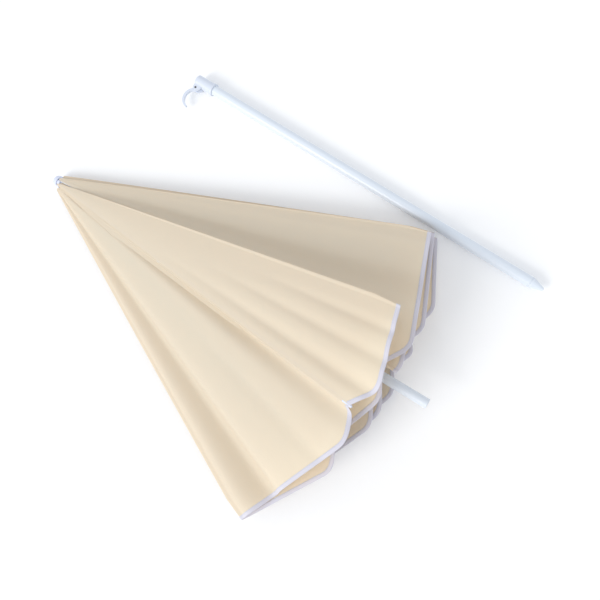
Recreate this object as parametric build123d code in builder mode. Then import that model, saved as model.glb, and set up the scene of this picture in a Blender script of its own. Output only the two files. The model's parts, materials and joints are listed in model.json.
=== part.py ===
"""Beach umbrella in two halves, lying closed and apart on the floor.

Upper half: pole with crown, eight ribs, eight stretchers, a runner and an
eight-gore cloth canopy. Lower half: pole with a socket collar, a hooked
locking lever and a ground spike. Millimetres, +Z up, floor at Z = 0.
"""
import os
from math import acos, asin, atan2, cos, degrees, pi, radians, sin, sqrt

from build123d import *

os.makedirs("parts", exist_ok=True)

# ---------------------------------------------------------------- dimensions
UPPER_R = 11.0            # upper pole outside radius
UPPER_WALL = 1.0
UPPER_END = 1075.0        # free end, from the rib pivot plane
UPPER_TOP = -3.0          # crown end
LOWER_R = 12.5            # lower pole outside radius
LOWER_BORE = 11.2         # takes the 22 mm upper pole
RIB_R = 1.6
RIB_LEN = 966.0           # pivot to cloth seam end
PIVOT_R = 14.0            # rib pivots around the pole axis
CLOTH_OFF = 3.0           # cloth above the rib axis
GORE = 43.0               # cloth angle between two seams, degrees
RIBS = 8
FIRST_AZIMUTH = -31.0     # first rib, from up toward +Y, degrees
RIB_CLOSED = (8.3, 4.2, 3.6, 6.2, 3.6, 1.1, 2.0, 8.8)   # rib slope when closed
STRETCHER_AT = 400.0      # stretcher pivot along the rib
STRETCHER_DROP = 4.0      # and toward the pole
STRETCHER_LEN = 400.0
STRETCHER_R = 1.3
EYE_AT = 20.0             # lower stretcher eyes, from the pole axis
SLEEVE_R = 14.5           # runner sleeve
FLANGE_R = 24.0           # runner flange
RUNNER_AT = 797.0         # middle of the runner flange when closed
CLOTH_T = 0.6             # thickness of a cloth panel
HEM = 961.0               # cloth apex to hem, mid gore
POLE_SLOPE = 4.0          # the closed bundle lifts the pole's free end
POLE_YAW = 3.5
CROWN = (-559.72, -21.888, 16.444)    # pole axis at the crown
LOWER_AT = (-403.72, 392.112, 16.0)  # collar end of the lower pole
LOWER_LEN = 984.0
COLLAR_LEN = 55.0
COLLAR_R = 14.5
COLLAR_FLANGE_R = 16.0
CONE_LEN = 32.0
LEVER_PIN = (10.0, -20.0)          # lever pin from the collar end and axis

# closed fold lines of each gore: ("at", lateral, rise) is placed,
# ("rise", rise, side) follows from the gore angle (degrees to the pole axis)
FOLDS = (
    (("at", 9.3, 7.4), ("rise", 4.3, -1)),
    (("at", 20.4, -1.6), ("rise", 2.8, -1)),
    (("at", 20.3, -2.9), ("rise", 1.7, -1)),
    (("at", 20.0, -4.2), ("rise", -4.5, -1)),
    (("rise", -3.74, -1),),
    (("rise", -3.4, -1),),
    (("rise", -2.8, -1),),
    (("rise", -2.2, -1),),
)
# panel: start radius, inset at the first edge, inset at the second edge
PANELS = {
    "1a": (45, 5, 2),
    "1b": (45, 12, 60),
    "1c": (525, 30, 14),
    "2a": (45, 2, 2),
    "2b": (45, 16, 20),
    "2c": (45, 10, 3.5),
    "3a": (45, 2, 32),
    "3b": (525, 30.5, 2),
    "3c": (495, 2, 6.5),
    "4a": (45, 2, 2),
    "4b": (45, 12, 60),
    "4c": (45, 30, 30),
    "5a": (45, 28.5, 90),
    "5b": (930, 90, 40.5),
    "6a": (45, 39, 90),
    "6b": (45, 90, 21.5),
    "7a": (45, 20, 5),
    "7b": (45, 3.5, 24.5),
    "8a": (45, 23, 6.5),
    "8b": (45, 5, 2),
}


# ------------------------------------------------------------ small vectors
def add(a, b):
    return (a[0] + b[0], a[1] + b[1], a[2] + b[2])


def sub(a, b):
    return (a[0] - b[0], a[1] - b[1], a[2] - b[2])


def mul(a, s):
    return (a[0] * s, a[1] * s, a[2] * s)


def dot(a, b):
    return a[0] * b[0] + a[1] * b[1] + a[2] * b[2]


def cross(a, b):
    return (a[1] * b[2] - a[2] * b[1], a[2] * b[0] - a[0] * b[2], a[0] * b[1] - a[1] * b[0])


def unit(a):
    return mul(a, 1 / sqrt(dot(a, a)))


def angle(a, b):
    c = cross(a, b)
    return atan2(sqrt(dot(c, c)), dot(a, b))


# ------------------------------------------------- frame of the upper half
# x runs down the pole from the crown, y to the side, z up across the pole
SLOPE, YAW = radians(POLE_SLOPE), radians(POLE_YAW)
AX = (cos(SLOPE) * cos(YAW), cos(SLOPE) * sin(YAW), sin(SLOPE))
AY = (-sin(YAW), cos(YAW), 0.0)
AZ = cross(AX, AY)


def to_row(v):
    return add(add(mul(AX, v[0]), mul(AY, v[1])), mul(AZ, v[2]))


def place(p):
    return add(CROWN, to_row(p))


OPEN = asin(sin(radians(GORE / 2)) / sin(pi / RIBS))       # rib slope when open
CLOSED = [radians(v) for v in RIB_CLOSED]
AZIMUTH = [radians(FIRST_AZIMUTH + 360.0 / RIBS * k) for k in range(RIBS)]
APEX_BACK = (PIVOT_R + CLOTH_OFF * cos(OPEN)) / sin(OPEN)  # seam line to the cloth apex
SEAM = RIB_LEN + APEX_BACK


def out(k):
    return (0.0, sin(AZIMUTH[k]), cos(AZIMUTH[k]))


def pivot(k):
    return mul(out(k), PIVOT_R)


def rib_dir(k, b):
    return add((cos(b), 0, 0), mul(out(k), sin(b)))


def rib_out(k, b):
    return add((-sin(b), 0, 0), mul(out(k), cos(b)))


def apex(k, b):
    return add(add(pivot(k), mul(rib_out(k, b), CLOTH_OFF)), mul(rib_dir(k, b), -APEX_BACK))


def tip(k, b):
    return add(apex(k, b), mul(rib_dir(k, b), SEAM))


def heading(lateral, rise):
    l, e = radians(lateral), radians(rise)
    return unit((cos(e) * cos(l), cos(e) * sin(l), sin(e)))


def fold_line(u0, u1, total, rise, side):
    lo = (degrees(atan2(u0[1], u0[0])) + degrees(atan2(u1[1], u1[0]))) / 2
    hi = lo + side * 60
    for _ in range(60):
        mid = (lo + hi) / 2
        v = heading(mid, rise)
        if angle(u0, v) + angle(u1, v) < total:
            lo = mid
        else:
            hi = mid
    return heading((lo + hi) / 2, rise)


def gore_lines(k):
    nxt = (k + 1) % RIBS
    a = apex(k, CLOSED[k])
    last = unit(sub(tip(nxt, CLOSED[nxt]), a))
    lines, left = [rib_dir(k, CLOSED[k])], radians(GORE)
    for kind, v, w in FOLDS[k]:
        line = heading(v, w) if kind == "at" else fold_line(lines[-1], last, left, v, w)
        left -= angle(lines[-1], line)
        lines.append(line)
    return a, lines + [last]


def stretcher_ends(k, b, closed):
    at = add(add(pivot(k), mul(rib_dir(k, b), STRETCHER_AT)), mul(rib_out(k, b), -STRETCHER_DROP))
    r = sqrt(at[1] ** 2 + at[2] ** 2)
    x = at[0] + sqrt(STRETCHER_LEN ** 2 - (r - EYE_AT) ** 2)
    return at, add((x, 0, 0), mul(out(k), EYE_AT))


# planes across the pole: local x is up, local y is toward -Y
def pole_plane(x):
    return Plane(origin=place((x, 0, 0)), x_dir=AZ, z_dir=AX)


LOWER_X = (1, 0, 0)


def lower_plane(x):
    return Plane(origin=add(LOWER_AT, (x, 0, 0)), x_dir=(0, 0, 1), z_dir=LOWER_X)


def save(part, name):
    part.label = name
    export_step(part, "parts/" + name + ".step")


# -------------------------------------------------------------- upper pole
with BuildPart() as upper_pole:
    with BuildSketch(pole_plane(UPPER_TOP)):
        Circle(UPPER_R)
        Circle(UPPER_R - UPPER_WALL, mode=Mode.SUBTRACT)
    extrude(amount=UPPER_END - UPPER_TOP)
upper_pole.part.label = "upper_pole"
export_step(upper_pole.part, "parts/upper_pole.step")

# crown hub: a thin ring on the pole with a fin between each pair of ribs,
# and a round groove for the pivot wire
HUB_IN, HUB_RING, HUB_FIN = UPPER_R + 0.08, 12.4, 16.4
SLOT_W = 3.4
with BuildPart() as crown_hub:
    with BuildSketch(pole_plane(-1.2)):
        Circle(HUB_FIN)
        Circle(HUB_IN, mode=Mode.SUBTRACT)
        for k in range(RIBS):
            with Locations((15.4 * cos(AZIMUTH[k]), -15.4 * sin(AZIMUTH[k]))):
                Rectangle(6.0, SLOT_W, rotation=-degrees(AZIMUTH[k]), mode=Mode.SUBTRACT)
    extrude(amount=7.4)
    with BuildSketch(pole_plane(-2.4)):
        Circle(HUB_RING)
        Circle(HUB_IN, mode=Mode.SUBTRACT)
    extrude(amount=12.0)
    with Locations(pole_plane(0).location):
        Torus(PIVOT_R, 0.75, mode=Mode.SUBTRACT)
crown_hub.part.label = "crown_hub"
export_step(crown_hub.part, "parts/crown_hub.step")

with BuildPart() as crown_wire:
    with Locations(pole_plane(0).location):
        Torus(PIVOT_R, 0.6)
crown_wire.part.label = "crown_wire"
export_step(crown_wire.part, "parts/crown_wire.step")

# plug in the pole's crown end, with a hole for the cap's stud
PLUG_R, STUD_R = UPPER_R - UPPER_WALL - 0.06, 4.0
with BuildPart() as crown_plug:
    with BuildSketch(pole_plane(-2.6)):
        Circle(PLUG_R)
        Circle(STUD_R + 0.08, mode=Mode.SUBTRACT)
    extrude(amount=26.0)
crown_plug.part.label = "crown_plug"
export_step(crown_plug.part, "parts/crown_plug.step")

# white domed cap with a rim and a stud
CAP_R, CAP_UNDER = 15.0, -8.4
with BuildPart() as finial_cap:
    with BuildSketch(pole_plane(-20.0)):
        Circle(CAP_R)
    extrude(amount=20.0 + CAP_UNDER)
    fillet(finial_cap.faces().sort_by(Axis(origin=place((0, 0, 0)), direction=AX))[0].edges(), 8.5)
    with BuildSketch(pole_plane(CAP_UNDER)):
        Circle(CAP_R)
        Circle(CAP_R - 1.5, mode=Mode.SUBTRACT)
    extrude(amount=3.5)
    with BuildSketch(pole_plane(CAP_UNDER)):
        Circle(STUD_R)
    extrude(amount=17.4)
finial_cap.part.label = "finial_cap"
export_step(finial_cap.part, "parts/finial_cap.step")

# ------------------------------------------------------------------ runner
with BuildPart() as runner:
    with BuildSketch(pole_plane(RUNNER_AT - 9)):
        Circle(FLANGE_R)
        Circle(UPPER_R + 0.2, mode=Mode.SUBTRACT)
        for k in range(RIBS):
            with Locations((21.5 * cos(AZIMUTH[k]), -21.5 * sin(AZIMUTH[k]))):
                Rectangle(10.0, 3.4, rotation=-degrees(AZIMUTH[k]), mode=Mode.SUBTRACT)
    extrude(amount=18.0)
    with BuildSketch(pole_plane(RUNNER_AT - 9)):
        Circle(SLEEVE_R)
        Circle(UPPER_R + 0.2, mode=Mode.SUBTRACT)
    extrude(amount=68.0)
    with BuildSketch(pole_plane(RUNNER_AT + 55)):
        Circle(SLEEVE_R + 1.8)
        Circle(UPPER_R + 0.2, mode=Mode.SUBTRACT)
    extrude(amount=4.0)
runner.part.label = "runner"
export_step(runner.part, "parts/runner.step")

# --------------------------------------------------------- ribs and stretchers
TIP_FROM, TIP_TO = 948.0, 971.0
for k in range(RIBS):
    b = CLOSED[k]
    d, n = to_row(rib_dir(k, b)), to_row(rib_out(k, b))
    side = cross(d, n)
    base = place(pivot(k))
    at, eye = stretcher_ends(k, b, True)
    at, eye = place(at), place(eye)
    across = Plane(origin=base, x_dir=d, z_dir=side)          # eye plane: x along, y outward
    with BuildPart() as rib:
        with BuildSketch(Plane(origin=add(base, mul(d, 1.2)), x_dir=n, z_dir=d)):
            Circle(RIB_R)
        extrude(amount=TIP_FROM + 12 - 1.2)
        with BuildSketch(across.offset(-1.3)):
            Circle(1.5)
        extrude(amount=2.6)
        with BuildSketch(across.offset(-2.0)):
            Circle(0.7)
        extrude(amount=4.0, mode=Mode.SUBTRACT)
        # clip that carries the stretcher: two cheeks and a pin
        with BuildSketch(across.offset(-2.5)):
            with Locations((STRETCHER_AT, -STRETCHER_DROP / 2 - 0.2)):
                Rectangle(9.0, 7.4)
        extrude(amount=1.1)
        with BuildSketch(across.offset(1.4)):
            with Locations((STRETCHER_AT, -STRETCHER_DROP / 2 - 0.2)):
                Rectangle(9.0, 7.4)
        extrude(amount=1.1)
        with BuildSketch(across.offset(-2.5)):
            with Locations((STRETCHER_AT, -STRETCHER_DROP)):
                Circle(0.8)
        extrude(amount=5.0)
    save(rib.part, "rib_%d" % (k + 1))

    # white tip on the rib's end, with a blind hole for the rib
    with BuildPart() as rib_tip:
        with BuildSketch(Plane(origin=add(base, mul(d, TIP_FROM)), x_dir=n, z_dir=d)):
            Circle(3.0)
        extrude(amount=TIP_TO - TIP_FROM)
        fillet(rib_tip.faces().sort_by(Axis(origin=base, direction=d))[-1].edges(), 2.2)
        with BuildSketch(Plane(origin=add(base, mul(d, TIP_FROM)), x_dir=n, z_dir=d)):
            Circle(RIB_R + 0.05)
        extrude(amount=12.6, mode=Mode.SUBTRACT)
    save(rib_tip.part, "rib_tip_%d" % (k + 1))

    s = unit(sub(eye, at))
    sn = cross(side, s)
    flat = Plane(origin=at, x_dir=s, z_dir=side)
    with BuildPart() as stretcher:
        with BuildSketch(Plane(origin=add(at, mul(s, 1.6)), x_dir=sn, z_dir=s)):
            Circle(STRETCHER_R)
        extrude(amount=STRETCHER_LEN - 3.2)
        with BuildSketch(flat.offset(-1.1)):
            Circle(2.1)
            with Locations((STRETCHER_LEN, 0)):
                Circle(2.1)
        extrude(amount=2.2)
        # the rod is flattened between the clip's cheeks
        with BuildSketch(flat.offset(1.1)):
            with Locations((3.0, 0)):
                Rectangle(14.0, 6.0)
        extrude(amount=2.0, mode=Mode.SUBTRACT)
        with BuildSketch(flat.offset(-3.1)):
            with Locations((3.0, 0)):
                Rectangle(14.0, 6.0)
        extrude(amount=2.0, mode=Mode.SUBTRACT)
        with BuildSketch(flat.offset(-2.0)):
            Circle(1.0)
            with Locations((STRETCHER_LEN, 0)):
                Circle(1.0)
        extrude(amount=4.0, mode=Mode.SUBTRACT)
    save(stretcher.part, "stretcher_%d" % (k + 1))

# ------------------------------------------------------------------ canopy
# each gore is a flat wedge of cloth folded along straight lines from the
# crown; every panel between two fold lines is one thin piece
NOTCH_IN, NOTCH_RUN = 978.0, 18.0
for k in range(RIBS):
    a, lines = gore_lines(k)
    done = 0.0
    for i in range(len(lines) - 1):
        name = "%d%s" % (k + 1, "abc"[i])
        start, in0, in1 = PANELS[name]
        p = angle(lines[i], lines[i + 1])
        half = radians(GORE / 2)

        def at_hem(v, x=0.0):
            # point of the panel at angle v from its first line, on the hem
            r = HEM / cos(done + v - half)
            return (r * cos(v), r * sin(v))

        # first edge inset by in0, second edge inset by in1
        def on_first(r):
            return (r, in0)

        def on_second(r):
            return (r * cos(p) + in1 * sin(p), r * sin(p) - in1 * cos(p))

        r0 = HEM / cos(done - half)
        r1 = HEM / cos(done + p - half)
        pts = [on_first(start)]
        if i == 0:
            v = NOTCH_RUN / 1010.0 + in0 / 1010.0
            pts += [on_first(NOTCH_IN), at_hem(v)]
        else:
            pts += [on_first(r0 + in0 * (sin(done - half) / cos(done - half)))]
        if i == len(lines) - 2:
            v = p - NOTCH_RUN / 1010.0 - in1 / 1010.0
            pts += [at_hem(v), on_second(NOTCH_IN)]
        else:
            pts += [on_second(r1 - in1 * (sin(done + p - half) / cos(done + p - half)))]
        pts += [on_second(start)]
        width = start * sin(p) - in0 - in1
        if width < 1.0:
            # the insets meet before the start: the panel ends in a short edge
            r = (in0 + in1 * cos(p) + 3.0) / sin(p)
            r = max(r, start)
            pts[0] = on_first(r)
            pts[-1] = on_second(r)
        normal = unit(cross(to_row(lines[i]), to_row(lines[i + 1])))
        plane = Plane(origin=place(a), x_dir=to_row(lines[i]), z_dir=normal)
        with BuildPart() as panel:
            with BuildSketch(plane.offset(-CLOTH_T / 2)):
                with BuildLine():
                    Polyline(*pts, close=True)
                make_face()
            extrude(amount=CLOTH_T)
        save(panel.part, "gore_" + name)
        done += p

# -------------------------------------------------------------- lower pole
TUBE_FROM = 3.0
NECK_LEN, NECK_BORE = 25.0, 10.8    # narrower end that holds the spike
NECK_FROM = LOWER_LEN - CONE_LEN - NECK_LEN
with BuildPart() as lower_pole:
    with BuildSketch(lower_plane(TUBE_FROM)):
        Circle(LOWER_R)
        Circle(LOWER_BORE, mode=Mode.SUBTRACT)
    extrude(amount=NECK_FROM - TUBE_FROM)
    with BuildSketch(lower_plane(NECK_FROM)):
        Circle(LOWER_R)
        Circle(NECK_BORE, mode=Mode.SUBTRACT)
    extrude(amount=LOWER_LEN - CONE_LEN - NECK_FROM)
lower_pole.part.label = "lower_pole"
export_step(lower_pole.part, "parts/lower_pole.step")

# ground spike: solid cone with a plug inside the tube
PLUG_LEN = 22.0
CONE_FROM = LOWER_LEN - CONE_LEN
SPIKE_TAPER, SPIKE_TIP = 18.0, 3.0
with BuildPart() as ground_spike:
    with BuildSketch(lower_plane(CONE_FROM + 4.0)):
        Circle(LOWER_R)
    extrude(amount=CONE_LEN - 4.0, taper=SPIKE_TAPER)
    fillet(ground_spike.faces().sort_by(Axis.X)[-1].edges(), SPIKE_TIP)
    with BuildSketch(lower_plane(CONE_FROM + 0.1)):
        Circle(LOWER_R)
    extrude(amount=3.9)
    chamfer(ground_spike.faces().sort_by(Axis.X)[0].edges(), 0.8)
    with BuildSketch(lower_plane(CONE_FROM - PLUG_LEN)):
        Circle(NECK_BORE - 0.06)
    extrude(amount=PLUG_LEN + 0.1)
ground_spike.part.label = "ground_spike"
export_step(ground_spike.part, "parts/ground_spike.step")

# collar: sleeve over the tube's end, flange ring, and a forked side lug
LUG_T = 4.4               # half gap between the lug's cheeks
PX, PY = LEVER_PIN
with BuildPart() as collar:
    with BuildSketch(lower_plane(0)):
        Circle(COLLAR_R)
    extrude(amount=COLLAR_LEN)
    fillet(collar.faces().sort_by(Axis.X)[0].edges(), 2.4)
    with BuildSketch(lower_plane(COLLAR_LEN - 7.0)):
        Circle(COLLAR_FLANGE_R)
    extrude(amount=7.0)
    chamfer(collar.faces().sort_by(Axis.X)[-1].edges(), 0.8)
    # side lug, flat on top and bottom
    with BuildSketch(Plane(origin=add(LOWER_AT, (0, 0, -8.6)), x_dir=(1, 0, 0), z_dir=(0, 0, 1))):
        with Locations((12.5, -13.5)):
            Rectangle(21.0, 13.0)
        with Locations((PX, PY)):
            Circle(7.0)
        with Locations((PX + 4.5, PY + 1.0)):
            Circle(6.5)
    extrude(amount=17.2)
    with BuildSketch(Plane(origin=add(LOWER_AT, (0, 0, -LUG_T)), x_dir=(1, 0, 0), z_dir=(0, 0, 1))):
        with Locations((PX, PY - 4.3)):
            Rectangle(46.0, 20.6)
    extrude(amount=2 * LUG_T, mode=Mode.SUBTRACT)
    with BuildSketch(lower_plane(-1)):
        Circle(LOWER_BORE)
    extrude(amount=TUBE_FROM + 1, mode=Mode.SUBTRACT)
    with BuildSketch(lower_plane(TUBE_FROM - 0.05)):
        Circle(LOWER_R + 0.05)
    extrude(amount=COLLAR_LEN, mode=Mode.SUBTRACT)
    with BuildSketch(Plane(origin=add(LOWER_AT, (0, 0, -12)), x_dir=(1, 0, 0), z_dir=(0, 0, 1))):
        with Locations((PX, PY)):
            Circle(2.5)
    extrude(amount=24.0, mode=Mode.SUBTRACT)
collar.part.label = "collar"
export_step(collar.part, "parts/collar.step")

with BuildPart() as lever_pin:
    with BuildSketch(Plane(origin=add(LOWER_AT, (PX, PY, -9.4)), x_dir=(1, 0, 0), z_dir=(0, 0, 1))):
        Circle(2.44)
    extrude(amount=18.8)
lever_pin.part.label = "lever_pin"
export_step(lever_pin.part, "parts/lever_pin.step")

# hooked lever: knuckle on the pin and a curved arm, open side toward the pole
ARC_C, ARC_IN, ARC_OUT = (8.0, -27.0), 21.6, 27.8
with BuildPart() as lever:
    with BuildSketch(Plane(origin=add(LOWER_AT, (PX, PY, -3.6)), x_dir=(1, 0, 0), z_dir=(0, 0, 1))):
        Circle(4.9)
        with BuildLine():
            t0, t1 = radians(107.0), radians(263.0)
            tm = (t0 + t1) / 2
            ro, ri = ARC_OUT, ARC_IN
            cx, cy = ARC_C
            p = [(cx + r * cos(t), cy + r * sin(t)) for r, t in
                 ((ro, t0), (ro, tm), (ro, t1), (ri + 1.6, t1), (ri, tm), (ri, t0))]
            ThreePointArc(p[0], p[1], p[2])
            Line(p[2], p[3])
            ThreePointArc(p[3], p[4], p[5])
            Line(p[5], p[0])
        make_face()
        Circle(2.56, mode=Mode.SUBTRACT)
    extrude(amount=7.2)
lever.part.label = "lever"
export_step(lever.part, "parts/lever.step")
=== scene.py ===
import json
import math

import bpy
import numpy as np
from mathutils import Matrix, Vector

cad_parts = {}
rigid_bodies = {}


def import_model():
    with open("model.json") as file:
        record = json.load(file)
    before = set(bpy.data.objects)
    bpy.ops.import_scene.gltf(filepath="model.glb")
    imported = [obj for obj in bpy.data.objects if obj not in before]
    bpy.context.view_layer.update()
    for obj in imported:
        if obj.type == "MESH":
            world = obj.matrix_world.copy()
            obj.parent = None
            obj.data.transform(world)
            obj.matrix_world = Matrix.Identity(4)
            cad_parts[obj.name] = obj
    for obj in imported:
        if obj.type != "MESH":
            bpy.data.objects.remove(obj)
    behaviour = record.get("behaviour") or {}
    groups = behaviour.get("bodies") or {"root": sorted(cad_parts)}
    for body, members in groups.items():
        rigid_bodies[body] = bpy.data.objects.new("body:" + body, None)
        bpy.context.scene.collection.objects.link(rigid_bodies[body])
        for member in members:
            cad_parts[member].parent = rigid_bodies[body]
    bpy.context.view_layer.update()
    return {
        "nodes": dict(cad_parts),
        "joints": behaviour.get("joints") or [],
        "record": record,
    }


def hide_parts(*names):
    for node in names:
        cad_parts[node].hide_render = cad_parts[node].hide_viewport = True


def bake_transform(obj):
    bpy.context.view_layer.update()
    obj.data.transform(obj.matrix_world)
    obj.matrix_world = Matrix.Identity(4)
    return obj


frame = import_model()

RNG = np.random.default_rng(7)

# ------------------------------------------------------------------ camera
CAM_POS = (0.46609, 0.05515, 1.41136)
RIGHT = (0.805953, 0.564080, -0.179592)
UP = (-0.546928, 0.825609, 0.138706)
BACK = (0.226514, -0.013566, 0.973913)
cam_data = bpy.data.cameras.new("camera")
cam_data.lens = 36.68
cam_data.sensor_width = 36.0
cam_data.sensor_fit = "HORIZONTAL"
cam_data.clip_start = 0.01
camera = bpy.data.objects.new("camera", cam_data)
camera.matrix_world = Matrix([[RIGHT[i], UP[i], BACK[i], CAM_POS[i]] for i in range(3)] + [[0, 0, 0, 1]])
bpy.context.scene.collection.objects.link(camera)
bpy.context.scene.camera = camera

# -------------------------------------------------- bodies when fully open
JOINTS = {j["name"]: j for j in frame["joints"]}
RECORD = frame["record"]
COUPLED = {c["joint"]: c for c in RECORD["behaviour"]["couplings"]}
BY_CHILD = {j["child"]: j for j in frame["joints"]}
TRAVEL = JOINTS["runner_slide"]["range_m"][1]


def turn(axis, angle):
    x, y, z = np.array(axis, float) / np.linalg.norm(axis)
    k = np.array([[0, -z, y], [z, 0, -x], [-y, x, 0]])
    return np.eye(3) + math.sin(angle) * k + (1 - math.cos(angle)) * k @ k


def joint_matrix(j):
    m = np.eye(4)
    if j["type"] == "slide":
        m[:3, 3] = np.array(j["axis"], float) * (TRAVEL if j["name"] == "runner_slide" else 0.0)
        return m
    q = COUPLED[j["name"]]["ratio"] * TRAVEL if j["name"] in COUPLED else 0.0
    p = np.array(j["pos_m"], float)
    m[:3, :3] = turn(j["axis"], q)
    m[:3, 3] = p - m[:3, :3] @ p
    return m


def open_matrix(body):
    if body not in BY_CHILD:
        return np.eye(4)
    j = BY_CHILD[body]
    return open_matrix(j["parent"]) @ joint_matrix(j)


AX = -np.array(JOINTS["runner_slide"]["axis"], float)
AX /= np.linalg.norm(AX)


def line_of(joint, body):
    """A hinge line on a body, at rest and fully open: (point, direction away from the crown)."""
    p = np.array(joint["pos_m"], float)
    d = np.array(joint["axis"], float)
    d = d / np.linalg.norm(d) * (1 if d @ AX > 0 else -1)
    m = open_matrix(body)
    return m[:3, :3] @ p + m[:3, 3], m[:3, :3] @ d


def unit(v):
    return v / np.linalg.norm(v)


# ------------------------------------------------------------------- cloth
GORE = math.radians(43.0)
HALF = GORE / 2
TIP_R = 0.9815            # cloth apex to the seam's end
HEM_R = 0.967             # cloth apex to the hem, mid gore
START_R = 0.0170            # the cloth starts under the cap's rim
TAPE_W = 0.0085
NOTCH_SLOPE = 0.64        # how steeply the hem leaves the end of each rib
NOTCH_SOFT = 0.020        # rounding of the corner that follows


def hem_radius(alpha):
    """Distance from the apex to the hem at a gore angle, rounded beside the ribs."""
    line = HEM_R / np.cos(alpha - HALF)
    q = TIP_R * np.sin(np.clip(np.minimum(alpha, GORE - alpha), 0, None))
    notch = TIP_R - 0.002 + NOTCH_SLOPE * q
    h = np.clip(0.5 + 0.5 * (line - notch) / NOTCH_SOFT, 0, 1)
    return line * (1 - h) + notch * h - NOTCH_SOFT * h * (1 - h)


def smooth(t):
    t = np.clip(t, 0, 1)
    return t * t * (3 - 2 * t)


class Gore:
    def __init__(self, k):
        self.k = k
        n = k % 8 + 1
        self.a = JOINTS["fold_%da" % k]
        self.apex, self.e0 = line_of(self.a, "rib_%d" % k)
        _, self.last = line_of(JOINTS["fold_%da" % n], "rib_%d" % n)
        self.e1 = unit(self.last - (self.last @ self.e0) * self.e0)
        out = unit(np.cross(self.e1, self.e0))
        if out @ AX > 0:
            out = -out                       # outer side faces away from the pole's foot
        self.out = out
        self.names = [c for c in "abc" if "fold_%d%s" % (k, c) in JOINTS]
        self.creases = []
        for i in range(1, len(self.names)):
            _, d = line_of(JOINTS["fold_%d%s" % (k, self.names[i])], "gore_%d%s" % (k, self.names[i - 1]))
            self.creases.append(math.atan2(d @ self.e1, d @ self.e0))

    def sag(self, alpha, r):
        """Inward set of the stretched cloth: a shallow dip between ribs, and a valance that hangs."""
        a = np.clip(alpha, 0, GORE)
        chord = 0.9115 / np.cos(a - HALF)
        over = np.clip(r - chord, 0, None)
        s = np.sin(np.pi * a / GORE)
        dip = 0.009 * (r / 0.98) ** 2 * s ** 2
        wave = 0.0015 * np.sin(9.0 * a / GORE * np.pi + self.k * 1.7) * (r / 0.98) ** 6 * s
        return dip + over * 0.16 * s ** 2 + wave

    def point(self, alpha, r, lift=0.0):
        """A point of the open cloth."""
        alpha, r = np.broadcast_arrays(np.asarray(alpha, float), np.asarray(r, float))
        d = np.cos(alpha)[..., None] * self.e0 + np.sin(alpha)[..., None] * self.e1
        return self.apex + d * r[..., None] + self.out * (lift - self.sag(alpha, r))[..., None]


GORES = {k: Gore(k) for k in range(1, 9)}

# half width of each rounded fold, as an angle at the crown, in degrees
ROUND = {(8, 0): 1.5, (1, 0): 0.9, (1, 1): 0.6, (2, 0): 0.7, (2, 1): 0.5, (3, 0): 0.6, (3, 1): 0.6,
         (4, 0): 0.45, (4, 1): 0.5, (5, 0): 0.35, (6, 0): 0.5, (7, 0): 0.8}


def puff(k, crease, alpha, r, alpha_c):
    """How far the folded cloth stands off its flat panel when the umbrella is closed, in metres."""
    f = (r / 0.98) ** 1.15
    side = alpha - alpha_c
    def bump_at(t, c, wide):
        return np.exp(-((t - c) / wide) ** 2)

    if k == 8 and crease == 0:
        t = np.clip(side / (GORE - alpha_c), 0, 1)          # 0 at the fold, 1 at rib 1
        b = 0.022 * np.sin(np.pi * t) ** 1.2 * smooth(t * 2)
        b = b + 0.014 * bump_at(t, 0.12, 0.065) - 0.034 * bump_at(t, 0.285, 0.080) + 0.004 * bump_at(t, 0.5, 0.12)
        groove = np.where(t < 0.958, bump_at(t, 0.958, 0.062), bump_at(t, 0.958, 0.030))
        b = b - 0.034 * groove * (1 - t ** 60) * (1 - 0.55 * smooth((r - 0.60) / 0.36)) - 0.004 * bump_at(t, 0.70, 0.05) * smooth((r - 0.45) / 0.4)
        ta = np.clip(-side / alpha_c, 0, 1)
        a = 0.006 * np.sin(np.pi * ta) + 0.003 * np.sin(ta * 9 + r * 4) * np.sin(np.pi * ta)
        return np.where(side > 0, b * f, a * f)
    if k == 1 and crease == 0:
        t = np.clip(-side / alpha_c, 0, 1)                  # 0 at the fold, 1 at rib 1
        far = smooth((r - 0.35) / 0.5)
        up = 0.013 * np.sin(np.pi * t) ** 1.1
        up = up - 0.010 * bump_at(t, 0.80, 0.07) * far - 0.006 * bump_at(t, 0.52, 0.06) * smooth((r - 0.5) / 0.3)
        up = up - 0.005 * bump_at(t, 0.28, 0.05) * smooth((r - 0.6) / 0.3)
        return np.where(side < 0, up * f, 0.0)
    if k == 2 and crease == 0:
        t = np.clip(-side / alpha_c, 0, 1)                  # 0 at the fold, 1 at rib 2
        up = 0.012 * np.sin(np.pi * t) ** 1.5 - 0.012 * bump_at(t, 0.52, 0.11) + 0.004 * bump_at(t, 0.14, 0.06)
        return np.where(side < 0, up * f, 0.0)
    if crease == 0:
        t = np.clip(np.abs(side) / alpha_c, 0, 1)
        ripple = 0.0025 * np.sin(np.pi * t) * np.sin(t * 6 + r * 5 + k) * f
        return np.where(side > 0, 0.0, ripple) if k < 5 else ripple      # gores 1 to 4 go on in a second piece
    return np.zeros_like(side)


def fold_back(v, body_a, body_b, w):
    """Where points of the open cloth lie at rest, for a piece that bends from body a to body b."""
    ma, mb = open_matrix(body_a), open_matrix(body_b)
    u = (v - ma[:3, 3]) @ ma[:3, :3]
    rel = np.linalg.inv(ma) @ mb
    r, t = rel[:3, :3], rel[:3, 3]
    angle = math.acos(max(-1.0, min(1.0, (np.trace(r) - 1) / 2)))
    n = unit(np.array([r[2, 1] - r[1, 2], r[0, 2] - r[2, 0], r[1, 0] - r[0, 1]]))
    along = (t @ n) * n
    pivot = np.linalg.lstsq(np.eye(3) - r, t - along, rcond=None)[0]
    p = u - pivot
    c, s = np.cos(-w * angle)[:, None], np.sin(-w * angle)[:, None]
    return pivot + p * c + np.cross(n, p) * s + n * (p @ n)[:, None] * (1 - c), angle


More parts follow.
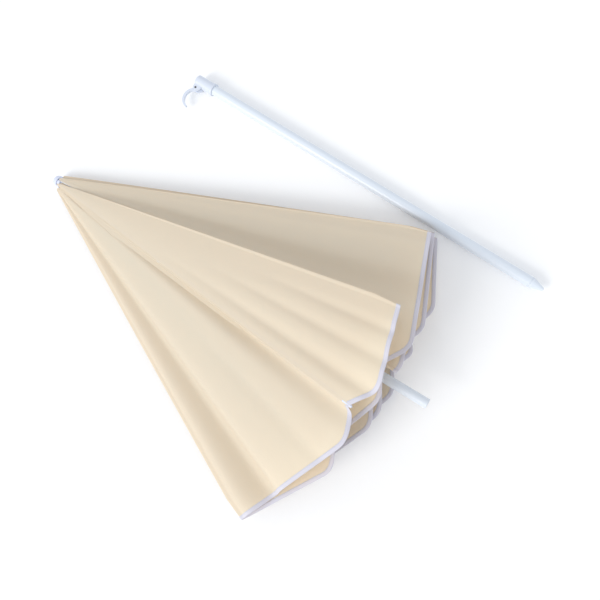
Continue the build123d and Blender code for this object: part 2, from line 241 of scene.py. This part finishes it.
def new_mesh(name, verts, faces, uvs=None, flat=False):
    me = bpy.data.meshes.new(name)
    me.from_pydata([tuple(map(float, v)) for v in verts], [], faces)
    if uvs is not None:
        layer = me.uv_layers.new(name="cloth")
        idx = np.zeros(len(me.loops), np.int32)
        me.loops.foreach_get("vertex_index", idx)
        layer.data.foreach_set("uv", np.asarray(uvs, np.float32)[idx].ravel())
    if not flat:
        me.polygons.foreach_set("use_smooth", np.ones(len(me.polygons), bool))
    me.update()
    ob = bpy.data.objects.new(name, me)
    bpy.context.scene.collection.objects.link(ob)
    return ob


def weights(k, crease, alpha, r):
    g = GORES[k]
    ac = g.creases[crease]
    half = math.radians(ROUND[(k, crease)])
    return smooth(((alpha - ac) / half + 1) / 2)


def bend_piece(ob, k, crease, alpha, r, verts_open):
    """Sets the piece's vertices to the folded rest shape, computed from its bending weights."""
    g = GORES[k]
    body_a = "gore_%d%s" % (k, g.names[crease])
    body_b = "gore_%d%s" % (k, g.names[crease + 1])
    ac = g.creases[crease]
    w = weights(k, crease, alpha, r)
    _, angle = fold_back(verts_open[:1], body_a, body_b, np.zeros(1))
    u = np.abs(r * np.sin(alpha - ac))
    flat = g.sag(alpha, r) * (1.0 if crease == 0 else -1.0)   # lies flat again when folded
    w = w + (1 - 2 * w) * np.arctan2(puff(k, crease, alpha, r, ac) + flat, np.maximum(u, 0.002)) / angle
    rest, _ = fold_back(verts_open, body_a, body_b, w)
    ob.data.vertices.foreach_set("co", rest.astype(np.float32).ravel())
    ob.data.update()
    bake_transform(ob)
    return ob


def columns(lo, hi, ac, half):
    """Gore angles of the mesh columns: close together at the fold and at the ribs."""
    pts = set()
    for a in np.linspace(lo, hi, max(30, int((hi - lo) / 0.0052))):
        pts.add(round(float(a), 7))
    for a in np.linspace(-1.15, 1.15, 21):
        v = ac + a * half
        if lo < v < hi:
            pts.add(round(float(v), 7))
    for e in (0.0, GORE):
        for q in (0.0008, 0.002, 0.004, 0.0065, 0.009, 0.012, 0.015, 0.018, 0.021, 0.026):
            v = e + q / TIP_R * (1 if e == 0 else -1)
            if lo < v < hi:
                pts.add(round(float(v), 7))
    pts = sorted(pts | {lo, hi})
    keep = [pts[0]]
    for v in pts[1:]:
        if v - keep[-1] > 0.0006 or v == hi:
            keep.append(v)
    return np.array(keep)


ROWS = 64
STRIP = 0.0015             # overlap of two pieces of one gore, as an angle at the crown


def gore_piece(k, crease, lo, hi):
    g = GORES[k]
    ac, half = g.creases[crease], math.radians(ROUND[(k, crease)])
    cols = columns(lo, hi, ac, half)
    ext = np.array([STRIP])
    if lo > 0:
        cols = np.concatenate([lo - ext[::-1], cols])
    if hi < GORE:
        cols = np.concatenate([cols, hi + ext])
    s = np.concatenate([np.linspace(0, 0.9, ROWS - 16), np.linspace(0.9, 1, 17)[1:]])
    A, S = np.meshgrid(cols, s)
    R = START_R + (hem_radius(A) - START_R) * S
    # two pieces of one gore overlap by a strip that sinks slightly under its neighbour
    V = g.point(A, R, -0.0002 * np.clip(np.maximum(lo - A, A - hi) / STRIP, 0, 1) ** 2)
    last = crease == len(g.creases) - 1
    al, rr = A.copy(), R.copy()
    if last:
        # a seam allowance that runs on under the next gore
        nxt = GORES[k % 8 + 1]
        extra = 3
        for i in range(1, extra + 1):
            r = R[:, -1]
            wide = (0.0118 * (1 - r / TIP_R) + 0.0012) * i / extra
            wide = wide * smooth((TIP_R - r) / 0.01) * (0.35 + 0.65 * smooth((r - START_R) / 0.02))
            p = nxt.apex + nxt.e0 * r[:, None] + nxt.e1 * wide[:, None] - nxt.out * (0.0006 + nxt.sag(wide / np.maximum(r, 0.02), r))[:, None]
            V = np.concatenate([V, p[:, None, :]], 1)
            al = np.concatenate([al, np.full((len(s), 1), GORE)], 1)
            rr = np.concatenate([rr, r[:, None]], 1)
            A = np.concatenate([A, np.full((len(s), 1), GORE)], 1)
            R = np.concatenate([R, r[:, None]], 1)
    ny, nx = A.shape
    U = np.stack([R * (A - HALF), R], -1).reshape(-1, 2)
    if last:
        u3 = U.reshape(ny, nx, 2)
        for i in range(1, 4):
            u3[:, nx - 4 + i, 0] += 0.004 * i
        U = u3.reshape(-1, 2)
    V = V.reshape(-1, 3)
    faces = [(j * nx + i, j * nx + i + 1, (j + 1) * nx + i + 1, (j + 1) * nx + i) for j in range(ny - 1) for i in range(nx - 1)]
    name = "cloth_%d%s" % (k, g.names[crease] + g.names[crease + 1])
    ob = new_mesh(name, V, faces, U)
    bend_piece(ob, k, crease, al.ravel(), rr.ravel(), V)
    area = area_flat(float(cols[0]), float(cols[-1]))
    return ob, area


def area_flat(lo, hi):
    a = np.linspace(lo, hi, 400)
    f = 0.5 * (hem_radius(a) ** 2 - START_R ** 2)
    return float(np.sum((f[1:] + f[:-1]) / 2 * np.diff(a)))


def hem_tape(k, crease, lo, hi):
    """Bias tape folded round the hem: both faces and the turned edge."""
    g = GORES[k]
    ac, half = g.creases[crease], math.radians(ROUND[(k, crease)])
    fine = np.linspace(lo, hi, 4000)
    rf = hem_radius(fine)
    along = np.concatenate([[0], np.cumsum(np.hypot(np.diff(rf), rf[1:] * np.diff(fine)))])
    steps = np.linspace(0, along[-1], max(24, int(along[-1] / 0.0032)))
    a = np.interp(steps, along, fine)
    inside = np.linspace(ac - 1.1 * half, ac + 1.1 * half, 15)
    a = np.unique(np.concatenate([a, inside[(inside > lo) & (inside < hi)]]))
    keep = [a[0]]
    for v in a[1:-1]:
        if v - keep[-1] > 0.0012 and hi - v > 0.0012:
            keep.append(v)
    a = np.array(keep + [hi])
    r = hem_radius(a)
    x, y = r * np.cos(a - HALF), r * np.sin(a - HALF)
    # along each rib the hem starts at the seam; offset inward along the curve's normal
    tx, ty = np.gradient(x, a), np.gradient(y, a)
    ln = np.hypot(tx, ty)
    nx_, ny_ = -ty / ln, tx / ln
    flip = np.sign(nx_ * x + ny_ * y)
    nx_, ny_ = -nx_ * flip, -ny_ * flip
    prof = [(TAPE_W, 0.00055), (TAPE_W * 0.93, 0.00085), (TAPE_W * 0.5, 0.0009), (0.0008, 0.00085), (-0.0003, 0.0006), (-0.0007, 0.0),
            (-0.0003, -0.0006), (0.0008, -0.00085), (TAPE_W * 0.5, -0.0009), (TAPE_W * 0.93, -0.00085), (TAPE_W, -0.00055)]
    P, AL, RR, UV = [], [], [], []
    run = np.concatenate([[0], np.cumsum(np.hypot(np.diff(x), np.diff(y)))])
    for w_in, lift in prof:
        px, py = x + nx_ * w_in, y + ny_ * w_in
        al = np.arctan2(py, px) + HALF
        al = np.clip(al, 0.0, GORE)
        rad = np.hypot(px, py)
        P.append(g.point(al, rad, lift)); AL.append(al); RR.append(rad)
        UV.append(np.stack([run, np.full_like(run, w_in)], -1))
    P, AL, RR, UV = (np.stack(q, 0) for q in (P, AL, RR, UV))
    ny, nx = AL.shape
    faces = [(j * nx + i, j * nx + i + 1, (j + 1) * nx + i + 1, (j + 1) * nx + i) for j in range(ny - 1) for i in range(nx - 1)]
    ob = new_mesh("tape_%d%s" % (k, g.names[crease] + g.names[crease + 1]), P.reshape(-1, 3), faces, UV.reshape(-1, 2))
    bend_piece(ob, k, crease, AL.ravel(), RR.ravel(), P.reshape(-1, 3))
    return ob, float(run[-1])


# --------------------------------------------------------------- materials
def material(name):
    m = bpy.data.materials.new(name)
    m.use_nodes = True
    nt = m.node_tree
    nt.nodes.clear()
    out = nt.nodes.new("ShaderNodeOutputMaterial")
    bsdf = nt.nodes.new("ShaderNodeBsdfPrincipled")
    nt.links.new(bsdf.outputs[0], out.inputs[0])
    return m, nt, bsdf, out


def math_node(nt, op, a, b=None, c=None):
    n = nt.nodes.new("ShaderNodeMath")
    n.operation = op
    for i, v in enumerate((a, b, c)):
        if v is None:
            continue
        if isinstance(v, (int, float)):
            n.inputs[i].default_value = v
        else:
            nt.links.new(v, n.inputs[i])
    return n.outputs[0]


def noise(nt, vec, scale, detail=3.0, rough=0.55):
    n = nt.nodes.new("ShaderNodeTexNoise")
    n.inputs["Scale"].default_value = scale
    n.inputs["Detail"].default_value = detail
    n.inputs["Roughness"].default_value = rough
    nt.links.new(vec, n.inputs["Vector"])
    return n.outputs["Fac"]


def bump(nt, height, strength, distance, normal=None):
    b = nt.nodes.new("ShaderNodeBump")
    b.inputs["Strength"].default_value = strength
    b.inputs["Distance"].default_value = distance
    nt.links.new(height, b.inputs["Height"])
    if normal is not None:
        nt.links.new(normal, b.inputs["Normal"])
    return b.outputs["Normal"]


def mix_color(nt, fac, a, b):
    n = nt.nodes.new("ShaderNodeMix")
    n.data_type = "RGBA"
    for sock, v in ((n.inputs["Factor"], fac), (n.inputs["A"], a), (n.inputs["B"], b)):
        if isinstance(v, (int, float)):
            sock.default_value = v
        elif isinstance(v, tuple):
            sock.default_value = (*v, 1.0)
        else:
            nt.links.new(v, sock)
    return n.outputs["Result"]


def cloth_material(name, color, tint, thread, through, wrinkle, stitches):
    m, nt, bsdf, out = material(name)
    tc = nt.nodes.new("ShaderNodeTexCoord")
    uv = nt.nodes.new("ShaderNodeSeparateXYZ")
    nt.links.new(tc.outputs["UV"], uv.inputs[0])
    u, v = uv.outputs["X"], uv.outputs["Y"]
    wu = math_node(nt, "SINE", math_node(nt, "MULTIPLY", u, 2 * math.pi / thread))
    wv = math_node(nt, "SINE", math_node(nt, "MULTIPLY", v, 2 * math.pi / thread))
    weave = math_node(nt, "MULTIPLY", wu, wv)
    big = noise(nt, tc.outputs["UV"], 9.0, 4.0)
    fine = noise(nt, tc.outputs["UV"], 420.0, 2.0)
    n1 = bump(nt, big, wrinkle, 0.012)
    n2 = bump(nt, weave, 0.22, 0.00025, n1)
    n3 = bump(nt, fine, 0.10, 0.0004, n2)
    base = mix_color(nt, math_node(nt, "MULTIPLY", fine, 0.10), color, tint)
    normal = n3
    if stitches:
        # a double row of stitches beside each rib seam and a felled seam ridge
        edge = math_node(nt, "ABSOLUTE", u)
        lim = math_node(nt, "MULTIPLY", v, HALF)
        off = math_node(nt, "SUBTRACT", lim, edge)                       # distance to the seam
        row = math_node(nt, "COMPARE", off, 0.0052, 0.00045)
        row2 = math_node(nt, "COMPARE", off, 0.0016, 0.00040)
        dash = math_node(nt, "GREATER_THAN", math_node(nt, "SINE", math_node(nt, "MULTIPLY", v, 2 * math.pi / 0.0036)), -0.35)
        st = math_node(nt, "MULTIPLY", math_node(nt, "MAXIMUM", row, row2), dash)
        ridge = math_node(nt, "LESS_THAN", off, 0.0068)
        h = math_node(nt, "ADD", math_node(nt, "MULTIPLY", ridge, 0.6), math_node(nt, "MULTIPLY", st, 0.4))
        normal = bump(nt, h, 0.5, 0.0006, normal)
        base = mix_color(nt, math_node(nt, "MULTIPLY", st, 0.75), base, (0.88, 0.85, 0.82))
    else:
        # two rows of stitches along the tape
        row = math_node(nt, "COMPARE", v, 0.0070, 0.0004)
        dash = math_node(nt, "GREATER_THAN", math_node(nt, "SINE", math_node(nt, "MULTIPLY", u, 2 * math.pi / 0.0036)), -0.35)
        st = math_node(nt, "MULTIPLY", row, dash)
        normal = bump(nt, st, 0.5, -0.0005, normal)
        base = mix_color(nt, math_node(nt, "MULTIPLY", st, 0.5), base, tuple(c * 0.72 for c in color))
    nt.links.new(base, bsdf.inputs["Base Color"])
    nt.links.new(normal, bsdf.inputs["Normal"])
    bsdf.inputs["Roughness"].default_value = 0.78
    bsdf.inputs["Specular IOR Level"].default_value = 0.25
    bsdf.inputs["Sheen Weight"].default_value = 0.15
    tr = nt.nodes.new("ShaderNodeBsdfTranslucent")
    tr.inputs["Color"].default_value = (*tint, 1)
    nt.links.new(normal, tr.inputs["Normal"])
    mx = nt.nodes.new("ShaderNodeMixShader")
    mx.inputs[0].default_value = through
    nt.links.new(bsdf.outputs[0], mx.inputs[1])
    nt.links.new(tr.outputs[0], mx.inputs[2])
    nt.links.new(mx.outputs[0], out.inputs[0])
    return m


def solid_material(name, color, rough, metallic=0.0, grain=60.0, depth=0.0002, strength=0.15, coat=0.0):
    m, nt, bsdf, out = material(name)
    tc = nt.nodes.new("ShaderNodeTexCoord")
    f = noise(nt, tc.outputs["Object"], grain, 3.0)
    f2 = noise(nt, tc.outputs["Object"], 14.0, 2.0)
    nt.links.new(bump(nt, f, strength, depth), bsdf.inputs["Normal"])
    base = mix_color(nt, math_node(nt, "MULTIPLY", f2, 0.10), color, tuple(c * 0.86 for c in color))
    nt.links.new(base, bsdf.inputs["Base Color"])
    ro = math_node(nt, "ADD", math_node(nt, "MULTIPLY", f, 0.10), rough - 0.05)
    nt.links.new(ro, bsdf.inputs["Roughness"])
    bsdf.inputs["Metallic"].default_value = metallic
    bsdf.inputs["Coat Weight"].default_value = coat
    return m


CLOTH = cloth_material("cloth", (0.90, 0.835, 0.685), (0.95, 0.68, 0.40), 0.0011, 0.26, 0.22, True)
TAPE = cloth_material("tape", (0.76, 0.745, 0.83), (0.74, 0.70, 0.76), 0.0014, 0.10, 0.05, False)
LOOKS = {
    "white_tube": solid_material("white_tube", (0.78, 0.84, 0.92), 0.34, grain=240, depth=0.0001, coat=0.2),
    "white_plastic": solid_material("white_plastic", (0.77, 0.81, 0.96), 0.38, grain=500, depth=0.0001),
    "grey_white_plastic": solid_material("grey_white_plastic", (0.73, 0.78, 0.88), 0.42, grain=500, depth=0.0001),
    "rib_steel": solid_material("rib_steel", (0.78, 0.79, 0.82), 0.36, grain=300, depth=0.0001),
    "steel_wire": solid_material("steel_wire", (0.55, 0.55, 0.57), 0.32, 1.0, grain=300),
    "dark_pin": solid_material("dark_pin", (0.09, 0.09, 0.10), 0.35, 1.0, grain=300),
}
SLOT_OF = {s["node"]: s["material_slot"] for s in RECORD["subparts"]}
for name, ob in frame["nodes"].items():
    look = LOOKS.get(SLOT_OF.get(name))
    if look:
        ob.data.materials.clear()
        ob.data.materials.append(look)
        ob.data.polygons.foreach_set("material_index", np.zeros(len(ob.data.polygons), np.int32))

# ------------------------------------------------------------- build cloth
for k, g in GORES.items():
    edges = [0.0]
    for i in range(len(g.creases) - 1):
        edges.append((g.creases[i] + g.creases[i + 1]) / 2)
    edges.append(GORE)
    for c in range(len(g.creases)):
        ob, area = gore_piece(k, c, edges[c], edges[c + 1])
        ob.data.materials.append(CLOTH)
        tape, run = hem_tape(k, c, edges[c], edges[c + 1])
        tape.data.materials.append(TAPE)
        nodes = ["gore_%d%s" % (k, g.names[c])]
        if c == len(g.creases) - 1:
            nodes.append("gore_%d%s" % (k, g.names[c + 1]))
        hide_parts(*nodes)

# ------------------------------------------------------- floor and lights
bpy.ops.mesh.primitive_plane_add(size=60, location=(0, 0, 0))
floor = bpy.context.object
floor.name = "floor"
fm, fnt, fb, fo = material("floor")
ftc = fnt.nodes.new("ShaderNodeTexCoord")
ff = noise(fnt, ftc.outputs["Object"], 90.0, 2.0)
fnt.links.new(bump(fnt, ff, 0.03, 0.0005), fb.inputs["Normal"])
fnt.links.new(mix_color(fnt, math_node(fnt, "MULTIPLY", ff, 0.03), (0.93, 0.93, 0.935), (0.90, 0.90, 0.905)), fb.inputs["Base Color"])
fb.inputs["Roughness"].default_value = 0.7
fb.inputs["Emission Color"].default_value = (1, 1, 1, 1)
fb.inputs["Emission Strength"].default_value = 0.10
fb.inputs["Specular IOR Level"].default_value = 0.2
floor.data.materials.append(fm)


sun = bpy.data.lights.new("key", "SUN")
sun.energy = 1.38
sun.angle = math.radians(28)
sun.color = (1.0, 0.985, 0.96)
key = bpy.data.objects.new("key", sun)
key.rotation_euler = Vector((0.26, 0.78, -0.56)).to_track_quat("-Z", "Y").to_euler()
bpy.context.scene.collection.objects.link(key)
world = bpy.data.worlds.new("world")
world.use_nodes = True
world.node_tree.nodes["Background"].inputs[0].default_value = (0.93, 0.96, 1.0, 1)
world.node_tree.nodes["Background"].inputs[1].default_value = 0.84
bpy.context.scene.world = world
bpy.context.scene.view_settings.view_transform = "Standard"
